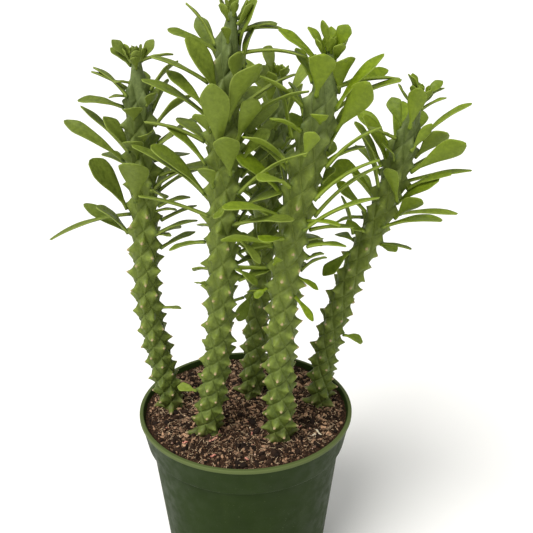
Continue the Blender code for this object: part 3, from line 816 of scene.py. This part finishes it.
class Stem:
    """One stem's centre line and the spiral of knobs round it. A height is a length along the centre line."""

    def __init__(self, name, radius, turn, root, line):
        self.name = name
        self.radius = radius * MM
        self.turn = turn
        share, angle = root
        foot = share * SOIL_EDGE * Vector((math.cos(math.radians(angle)), math.sin(math.radians(angle)), 0))
        foot.z = SOIL_TOP
        self.foot = foot
        self.track = smooth_track([foot + Vector(mark) * MM for mark in line])
        self.along = [0.0]
        for first, second in zip(self.track, self.track[1:]):
            self.along.append(self.along[-1] + (second - first).length)
        self.length = self.along[-1]
        self.first_knob = KNOB_CLEAR_OF_SOIL + 0.5 * CELL_SPAN * LOW_RISE
        room = self.length - self.first_knob - CROWN_HEIGHT - 0.5 * CELL_SPAN * HIGH_RISE
        self.knobs = int(room / (0.5 * (LOW_RISE + HIGH_RISE)))
        self.free_knobs = list(range(self.knobs))
        marks = np.array([p[:] for p in self.track])
        axes = unit(np.gradient(marks, axis=0))
        below = marks[0] - REACH_BELOW * axes[0]
        above = marks[-1] + REACH_ABOVE * axes[-1]
        self.marks = np.concatenate([[below], marks, [above]])
        self.axes = np.concatenate([axes[:1], axes, axes[-1:]])
        self.spans = np.array([-REACH_BELOW] + self.along + [self.length + REACH_ABOVE])

    def centre(self, height):
        index = 0
        while index < len(self.along) - 2 and self.along[index + 1] < height:
            index += 1
        move = self.track[index + 1] - self.track[index]
        share = (height - self.along[index]) / (self.along[index + 1] - self.along[index])
        return self.track[index] + share * move, move.normalized()

    def outward(self, height, angle):
        axis = self.centre(height)[1]
        right = (Vector((1, 0, 0)) - axis.x * axis).normalized()
        back = axis.cross(right)
        return math.cos(math.radians(angle)) * right + math.sin(math.radians(angle)) * back

    def spot(self, height, angle, radius):
        return self.centre(height)[0] + radius * self.outward(height, angle)

    def spots(self, heights, angles, radii):
        """The same for arrays of numbers, with the centre line's direction smoothed."""
        middle = np.stack([np.interp(heights, self.spans, self.marks[:, i]) for i in range(3)], -1)
        axis = unit(np.stack([np.interp(heights, self.spans, self.axes[:, i]) for i in range(3)], -1))
        right = unit(np.array((1.0, 0, 0)) - axis[:, :1] * axis)
        back = np.cross(axis, right)
        turns = np.radians(angles)[:, None]
        return middle + np.asarray(radii)[:, None] * (np.cos(turns) * right + np.sin(turns) * back)

    def knob_height(self, k):
        return self.first_knob + LOW_RISE * k + (HIGH_RISE - LOW_RISE) * k * abs(k) / (2 * self.knobs)

    def knob_angle(self, k):
        return self.turn + GOLDEN_ANGLE * k

    def waist(self, height):
        foot = np.minimum(1, 0.9 + 0.1 * np.maximum(0, height) / (15 * MM))
        top = np.minimum(1, 0.45 + 0.55 * np.maximum(0, self.length - height) / TAPER_LENGTH)
        return self.radius * foot * top

    def reach(self, height):
        share = np.minimum(1, 0.4 + 0.6 * (self.length - height) / (1.5 * TAPER_LENGTH))
        return self.waist(height) + KNOB_HEIGHT * share

    def knob_tip(self, k):
        height = self.knob_height(k)
        return self.spot(height, self.knob_angle(k), float(self.reach(height)))

    def take_knob(self, height, angle, limit=None):
        """The free knob nearest this place, which is then no longer free, or None if it is past the limit."""

        def distance(k):
            turn = (self.knob_angle(k) - angle + 180) % 360 - 180
            return math.hypot(self.knob_height(k) - height, math.radians(turn) * self.radius)

        knob = min(self.free_knobs, key=distance)
        if limit and distance(knob) > limit:
            return None
        self.free_knobs.remove(knob)
        return knob


def smooth_track(marks):
    marks = [2 * marks[0] - marks[1]] + marks + [2 * marks[-1] - marks[-2]]
    track = []
    for a, b, c, d in zip(marks, marks[1:], marks[2:], marks[3:]):
        for i in range(TRACK_STEPS):
            t = i / TRACK_STEPS
            bend = (2 * a - 5 * b + 4 * c - d) * t**2 + (3 * b - a - 3 * c + d) * t**3
            track.append(b + 0.5 * ((c - a) * t + bend))
    track.append(marks[-2])
    return track


def zip_loops(first, second):
    """Triangles between two loops of (angle, index), stepping along whichever is behind."""
    first = sorted(first)
    second = sorted(second)
    first.append((first[0][0] + 360, first[0][1]))
    second.append((second[0][0] + 360, second[0][1]))
    faces = []
    i = j = 0
    while i < len(first) - 1 or j < len(second) - 1:
        behind = j == len(second) - 1 or (i < len(first) - 1 and first[i + 1][0] <= second[j + 1][0])
        if behind:
            faces.append((first[i][1], first[i + 1][1], second[j][1]))
            i += 1
        else:
            faces.append((first[i][1], second[j + 1][1], second[j][1]))
            j += 1
    return faces


def cell_keys(k, size):
    """A name for each point of knob k's patch that its neighbours' patches give to the same point."""
    top, left, bottom, right = (k - back for back, _ in CELL_CORNERS)
    last = size - 1
    for i in range(size):
        for j in range(size):
            if i in (0, last) and j in (0, last):
                yield ((bottom, left), (right, top))[i > 0][j > 0]
            elif i == 0:
                yield bottom, left, j
            elif i == last:
                yield right, top, j
            elif j == 0:
                yield bottom, right, i
            elif j == last:
                yield left, top, i
            else:
                yield k, i, j, "inside"


def make_stem(stem, look, leafy):
    """Each knob's cell is a patch of points: a sunk channel along its edges with painted shade in it, a
    ridged cone with painted highlights on its ridges and painted shade in the hollows round it, and a scar at
    its tip.
    """
    draw = random.Random(stem.name)
    size = len(CELL_MARKS)
    s, t = [side.ravel() for side in np.meshgrid(CELL_MARKS, CELL_MARKS, indexing="ij")]
    a, b = 0.5 + 0.5 * s, 0.5 + 0.5 * t
    weights = (a * b, (1 - a) * b, (1 - a) * (1 - b), a * (1 - b))
    inside = np.minimum(1 - abs(s), 1 - abs(t))
    # Where the cone's ridges are, for a painted highlight along them.
    ridge_highlight_mask = clamp(1 - abs(abs(s) - abs(t)) / 0.16) * step(inside, 0.02, 0.4)
    sideways, upward = 0.5 * (s - t), 0.5 * (s + t)
    index = {}
    rows = {}
    faces = []
    for k in range(-BURIED_KNOBS, stem.knobs):
        tone = draw.random()
        tall = draw.uniform(0.8, 1.24)
        drift_s, drift_t = draw.uniform(-0.1, 0.1), draw.uniform(-0.1, 0.1)
        hook = draw.uniform(-1.2, 2.4) * MM
        blunt = draw.uniform(0.75, 1.1)
        thorny = draw.uniform(0.5, 0.85)
        rise = step(stem.knob_height(k), 60 * MM, 190 * MM)
        peak = 0.04 + 0.26 * rise
        past = [np.where(x > peak, (x - peak) / (1 - peak), (peak - x) / (1 + peak)) for x in (s, t)]
        pyramid = clamp((past[0] ** 3 + past[1] ** 3) ** (1 / 3))
        away = np.hypot(s - peak, t - peak)
        heights = sum(
            w * 0.5 * (stem.knob_height(k - back) + stem.knob_height(k - back + CELL_SPAN))
            for w, (back, _) in zip(weights, CELL_CORNERS)
        )
        angles = stem.knob_angle(k) + sum(
            w * (CORNER_TURN - GOLDEN_ANGLE * back + turns) for w, (back, turns) in zip(weights, CELL_CORNERS)
        )
        settle = step(inside, 0.0, 0.5)
        heights = heights + settle * 0.5 * (drift_s + drift_t) * 6 * MM
        angles = angles + settle * 0.5 * (drift_s - drift_t) * 30
        waist = stem.waist(heights)
        lift = stem.reach(heights) - waist
        foot = 1 + 0.45 * step(heights, 20 * MM, 3 * MM)
        rough = 0.12 * np.sin(5 * s + 7 * tone) * np.sin(6 * t + 9 * tone) * step(inside, 0.0, 0.3)
        round_cone = (1 - clamp(away / blunt)) ** 2.1
        cone = (1 - thorny) * (1 - pyramid) ** (1.55 + 0.4 * rise) + thorny * round_cone
        cone = clamp(cone + rough * (1 - rise) * (1 - cone))
        tongue = np.exp(-((sideways / 0.15) ** 2)) * step(upward, peak, peak - 0.25) * (1 - pyramid) ** 0.9
        cone = np.maximum(cone, (0.14 + 0.3 * rise) * tongue)
        heights = heights + hook * cone**1.5
        swell = (0.3 + 0.35 * rise) * MM * step(inside, 0.0, 0.25)
        sink = (1 - 0.65 * rise) * GROOVE_DEPTH * (1 - step(inside, 0.0, 0.2))
        radii = waist - sink + swell + ((1.25 + 0.35 * rise) * lift * tall * foot - swell) * cone
        bare = k not in leafy
        none = np.zeros(len(s))
        scarred = bare and draw.random() < 0.85 - 0.5 * rise
        band = step(inside, 0.06, 0.12) * (1 - step(inside, 0.14, 0.3))
        values = {
            "height": heights,
            "angle": angles,
            "radius": radii,
            # Painted highlight along the ridges of the cone.
            "crest": ridge_highlight_mask,
            # Painted shade in the sunk channel along the cell's edges.
            "groove": (0.7 - 0.6 * rise) * (1 - step(inside, 0.0, 0.07)),
            "brim": (0.4 + 0.6 * tone) * band * step(upward, -0.9, 0.2),
            # Painted shade in the hollows round the cone.
            "valley": (1 - clamp(cone / 0.45)) * step(inside, -0.05, 0.1),
            "tone": np.full(len(s), tone) * step(inside, 0.05, 0.3),
            "scar": clamp(1 - away / 0.15) ** 0.5 if scarred else none,
            "joint": none if bare else clamp(1 - away / 0.5),
            "rise": heights / stem.length,
        }
        ids = []
        for i, place in enumerate(cell_keys(k, size)):
            if place not in index:
                index[place] = len(index)
                for name, column in values.items():
                    rows.setdefault(name, []).append(column[i])
            ids.append(index[place])
        ids = np.array(ids)
        quads = np.array(grid_faces(size, size))
        faces += ids[quads].tolist()
    columns = {name: np.array(column) for name, column in rows.items()}
    edges = {}
    for face in faces:
        for pair in zip(face, face[1:] + face[:1]):
            pair = tuple(sorted(pair))
            edges[pair] = edges.get(pair, 0) + 1
    rim = {i for pair, uses in edges.items() if uses == 1 for i in pair}
    half = 0.5 * stem.length
    lowest = [(columns["angle"][i] % 360, i) for i in rim if columns["height"][i] < half]
    highest = [(columns["angle"][i] % 360, i) for i in rim if columns["height"][i] > half]
    around = np.arange(END_SIDES) * 360 / END_SIDES
    count = len(columns["height"])
    extra = {name: [column] for name, column in columns.items()}

    def ring(height, radius):
        nonlocal count
        start = count
        filler = {"height": height, "radius": radius, "rise": height / stem.length, "tone": 0.2}
        for name, parts in extra.items():
            parts.append(around if name == "angle" else np.full(END_SIDES, filler.get(name, 0.0)))
        count += END_SIDES
        return list(range(start, count))

    foot = float(stem.waist(0))
    crown = 0.35 * stem.radius
    base = min(columns["height"][i] for _, i in lowest)
    upper = [ring(stem.length - h * MM, r * crown) for h, r in ((2.4, 1.0), (1.1, 0.85), (0.3, 0.5))]
    lower = [ring(base - h * MM, r * foot) for h, r in ((2, 0.97), (12, 0.88), (18, 0.5))]
    faces += [face[::-1] for face in zip_loops(highest, list(zip(around, upper[0])))]
    faces += zip_loops(lowest, list(zip(around, lower[0])))
    for rings, turned in ((upper, False), (lower, True)):
        for one, two in zip(rings, rings[1:]):
            for quad in zip(one, one[1:] + one[:1], two[1:] + two[:1], two):
                faces.append(quad[::-1] if turned else quad)
        faces.append(rings[-1] if not turned else rings[-1][::-1])
    columns = {name: np.concatenate(parts) for name, parts in extra.items()}
    places = stem.spots(columns.pop("height"), columns.pop("angle"), columns.pop("radius"))
    made = piece(stem.name + "_skin", places, faces, look, columns)
    fix = bmesh.new()
    fix.from_mesh(made.data)
    bmesh.ops.recalc_face_normals(fix, faces=fix.faces)
    fix.to_mesh(made.data)
    fix.free()
    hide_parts(stem.name)


# ---------------------------------------------------------------------------------------------------------
# The leaves.

LEAF_RINGS = 24
LEAF_SIDES = 18
KNOB_LIMIT = 6 * MM
LEAF_SUNK = 0.5 * MM
CROWN_LEAVES = 10


def leaf_shape(base, aim, across, roll, width, bow, twist, draw):
    """A fleshy spoon-shaped blade: a round stalk, a channel above, a keel below, and a point."""
    base, aim, across = Vector(base), Vector(aim), Vector(across)
    length = (aim - base).length
    along = (aim - base).normalized()
    level = (across - across.dot(along) * along).normalized()
    plump = min(1.0, 0.45 + length / (45 * MM))
    widest = LEAF_WIDEST_AT + draw.uniform(0.02, 0.11)
    sway = draw.uniform(-0.03, 0.03) * length
    wave = draw.uniform(0, 6.28)
    shares = np.linspace(0, 1, LEAF_RINGS) ** 0.93
    shares = (shares[:-1] * 0.985).tolist()
    turns = 2 * math.pi * np.arange(LEAF_SIDES) / LEAF_SIDES
    c, s = np.cos(turns), np.sin(turns)
    sideways = np.sign(c) * abs(c) ** 0.9
    thickness = np.sign(s) * abs(s) ** 0.75
    above = s > 0.01
    rows, trail, lateral, under = [], [], [], []
    for share in shares:
        angle = math.radians(roll + twist * share)
        flat = math.cos(angle) * level + math.sin(angle) * along.cross(level)
        upward = along.cross(flat)
        arch = 4 * share * (1 - share) * bow * length + 0.5 * sway * share**2
        middle = base + share * length * along + arch * upward + 0.6 * sway * share**2 * flat
        if share < widest:
            spoon = math.sin(0.5 * math.pi * share / widest) ** 1.5
        else:
            spoon = (1 - ((share - widest) / (1 - widest)) ** 1.42) ** 0.92
        half = max(0.5 * width * spoon, 0.5 * LEAF_STALK_WIDTH * plump * (1 - 0.75 * share))
        half *= 1 + 0.03 * math.sin(9 * share + wave)
        thick = 0.5 * LEAF_THICKNESS * plump * (1.15 - 0.62 * share)
        open_part = min(1.0, max(0.0, (share - 0.08) / 0.3))
        soft = np.sqrt(sideways**2 + 0.02) - 0.14
        lift = 1.35 * LEAF_FOLD * half * soft * open_part + thick * thickness
        lift -= np.where(above, 0.55 * thick * open_part * np.exp(-((sideways / 0.16) ** 2)), 0)
        lift -= np.where(s < -0.01, 0.5 * thick * (1 - share) * np.exp(-((sideways / 0.22) ** 2)), 0)
        lift += 0.18 * MM * math.sin(14 * share + wave) * sideways * open_part
        out = half * sideways[:, None] * np.array(flat[:])
        rows.append(np.array(middle[:]) + out + lift[:, None] * np.array(upward[:]))
        trail.append(np.full(LEAF_SIDES, share))
        lateral.append(abs(sideways))
        under.append((s < -0.01).astype(float))
    points = np.concatenate(rows)
    last = len(shares) - 1
    count = len(points)
    tip = rows[-1].mean(0) + np.array((along * (0.016 * length + 0.5 * MM) + upward * 0.1 * MM)[:])
    root = rows[0].mean(0) - np.array((along * 0.8 * MM)[:])
    points = np.concatenate([points, [tip, root]])
    faces = grid_faces(len(shares), LEAF_SIDES, closed=True)
    ring = list(range(last * LEAF_SIDES, count))
    faces += [(p, q, count) for p, q in zip(ring, ring[1:] + ring[:1])]
    ring = list(range(LEAF_SIDES))
    faces += [(q, p, count + 1) for p, q in zip(ring, ring[1:] + ring[:1])]
    values = {
        "along": np.concatenate(trail + [[1.0, 0.0]]),
        "across": np.concatenate(lateral + [[1.0, 0.5]]),
        "under": np.concatenate(under + [[0.0, 1.0]]),
    }
    return points, faces, values


def grow(stem, height, heading, slope, roll, length, width, draw, bow, twist, limit=None):
    """A leaf rooted in the tip of the free knob nearest its place. Heights and sizes in mm.

    With a limit and no knob within it, the leaf is rooted in the stem's skin.
    """
    height *= MM
    knob = stem.take_knob(height, heading, limit)
    across = stem.centre(height)[1].cross(stem.outward(height, heading))
    start = stem.spot(height, heading, float(stem.reach(height)))
    aim = start + length * MM * direction(heading, slope)
    if knob is None:
        base = stem.spot(height, heading, float(stem.waist(height)) - LEAF_SUNK)
    else:
        away = stem.outward(stem.knob_height(knob), stem.knob_angle(knob))
        base = stem.knob_tip(knob) - LEAF_SUNK * away
    return knob, leaf_shape(base, aim, across, roll, width * MM, bow, twist, draw)


def make_leaves(stem, look):
    """All the stem's leaves. Those of the CAD are pieces of their own. Returns the knobs that bear a leaf."""
    draw = random.Random(stem.name + " leaves")
    short = stem.name[:-5]
    fresh = FRESHNESS[stem.name]
    leafy = set()
    for number, row in enumerate(LEAVES[stem.name], 1):
        knob, (points, faces, values) = grow(stem, *row, draw, LEAF_ARCH, draw.uniform(-8, 8))
        leafy.add(knob)
        node = f"{short}_leaf_{number:02d}"
        values["tone"] = np.full(len(points), draw.uniform(0.35, 0.7))
        values["fresh"] = np.full(len(points), fresh)
        made = piece(f"{short}_blade_{number:02d}", points, faces, look, values)
        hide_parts(node)
    heap = Heap()
    for row in MORE_LEAVES[stem.name]:
        knob, (points, faces, values) = grow(
            stem, *row, draw, draw.uniform(0.02, 0.09), draw.uniform(-15, 15), KNOB_LIMIT
        )
        leafy.add(knob)
        heap.add(points, faces, tone=draw.uniform(0.2, 0.85), fresh=fresh, **values)
    lowest, listed_from, listed_to = OTHER_LEAVES[stem.name]
    lowest *= MM
    for knob in list(stem.free_knobs):
        height = stem.knob_height(knob)
        share = (height - lowest) / (stem.length - lowest)
        angle = stem.knob_angle(knob) % 360
        chance = draw.random()
        listed = (angle - listed_from) % 360 < listed_to - listed_from
        most = 0.75 * share if listed else 0.72 + 1.3 * share
        if share < 0 or chance > most:
            continue
        length = 16 + 28 * math.sin(math.pi * min(1, 0.08 + 0.8 * share)) - 10 * share**3
        length *= draw.uniform(0.6, 1.0)
        length *= 0.5 if listed else 1.0
        width = 6.5 + 6 * math.sin(math.pi * min(1, 0.15 + 0.65 * share)) - 3 * share**3
        slope = 4 + 50 * share + 16 * share**4 + draw.gauss(0, 24 - 14 * share)
        row = (height / MM, angle + draw.uniform(-6, 6), slope, draw.uniform(-40, 40), length, width)
        _, (points, faces, values) = grow(stem, *row, draw, draw.uniform(0.0, 0.1), draw.uniform(-20, 20))
        leafy.add(knob)
        heap.add(points, faces, tone=draw.uniform(0.1, 0.8), fresh=fresh, **values)
    heap.to_piece(short + "_side_leaves", look)
    heap = Heap()
    for i in range(CROWN_LEAVES):
        share = i / (CROWN_LEAVES - 1)
        angle = stem.turn + GOLDEN_ANGLE * (stem.knobs + i)
        height = stem.length - (7 - 7 * share) * MM
        away = stem.outward(height, angle)
        base = stem.spot(height, angle, (4.2 - 3.4 * share) * MM)
        length = (15 - 9 * share) * MM * draw.uniform(0.85, 1.1)
        aim = base + length * direction(angle, 48 + 34 * share)
        across = stem.centre(height)[1].cross(away)
        width = (7.5 - 4 * share) * MM
        points, faces, values = leaf_shape(base, aim, across, 0, width, -0.05, draw.uniform(-10, 10), draw)
        heap.add(points, faces, tone=draw.uniform(0.3, 0.8), fresh=fresh, **values)
    heap.to_piece(short + "_crown_leaves", look)
    return leafy


# ---------------------------------------------------------------------------------------------------------
# Camera, lights and floor.


# The lens, place and tilt come from a least squares fit to the pot's rim in the photograph.
SENSOR = 36
LENS = 50.66
CAMERA_PLACE = (0.01559, -0.48427, 0.45863)
CAMERA_TILT = 67.044
SKY_STRENGTH = 0.54
FLOOR_RADIUS = 30.0
FLOOR_DROP = 0.5 * MM


def make_camera():
    data = bpy.data.cameras.new("camera")
    data.sensor_width = SENSOR
    data.lens = LENS
    data.clip_start = 0.01
    data.clip_end = 100
    camera = bpy.data.objects.new("camera", data)
    camera.location = CAMERA_PLACE
    camera.rotation_euler = (math.radians(CAMERA_TILT), 0, 0)
    bpy.context.scene.collection.objects.link(camera)
    bpy.context.scene.camera = camera


def make_sun(name, azimuth, elevation, strength, spread, colour):
    """A soft sun that shines from this azimuth and elevation."""
    data = bpy.data.lights.new(name, "SUN")
    data.energy = strength
    data.angle = math.radians(spread)
    data.color = colour
    sun = bpy.data.objects.new(name, data)
    sun.rotation_euler = direction(azimuth, elevation).to_track_quat("Z", "Y").to_euler()
    bpy.context.scene.collection.objects.link(sun)


def make_studio():
    world = bpy.data.worlds.new("studio")
    world.use_nodes = True
    sky = world.node_tree.nodes["Background"].inputs
    sky["Color"].default_value = (1, 0.995, 0.97, 1)
    sky["Strength"].default_value = SKY_STRENGTH
    bpy.context.scene.world = world
    make_sun("key", azimuth=229, elevation=56, strength=3.0, spread=36, colour=(1, 0.985, 0.95))
    floor = Look("studio_floor", 0.9, 0.1)
    floor.put("Base Color", (0.95, 0.95, 0.945))
    mesh = bpy.data.meshes.new("floor")
    mesh.from_pydata(ring_of(FLOOR_RADIUS, -FLOOR_DROP, 96).tolist(), [], [tuple(range(96))])
    mesh.materials.append(floor.material)
    made = bpy.data.objects.new("floor", mesh)
    bpy.context.scene.collection.objects.link(made)
    bpy.context.scene.view_settings.view_transform = "Standard"


# ---------------------------------------------------------------------------------------------------------

make_camera()
make_studio()
make_pot(pot_look())
make_soil(soil_look())
make_crumbs(litter_look("peat_crumb", srgb(26, 16, 10), srgb(184, 146, 116)))
make_lumps(litter_look("peat_lump", srgb(28, 18, 12), srgb(84, 60, 42)))
make_chips(litter_look("bark_chip", srgb(54, 35, 23), srgb(198, 158, 126)))
make_fibres(litter_look("peat_fibre", srgb(112, 80, 56), srgb(232, 204, 168)))
make_bits(litter_look("pale_bit", srgb(206, 128, 112), srgb(226, 216, 190)))
skin, blades = stem_look(), leaf_look()
for row in STEMS:
    stem = Stem(*row)
    leafy = make_leaves(stem, blades)
    make_stem(stem, skin, leafy)
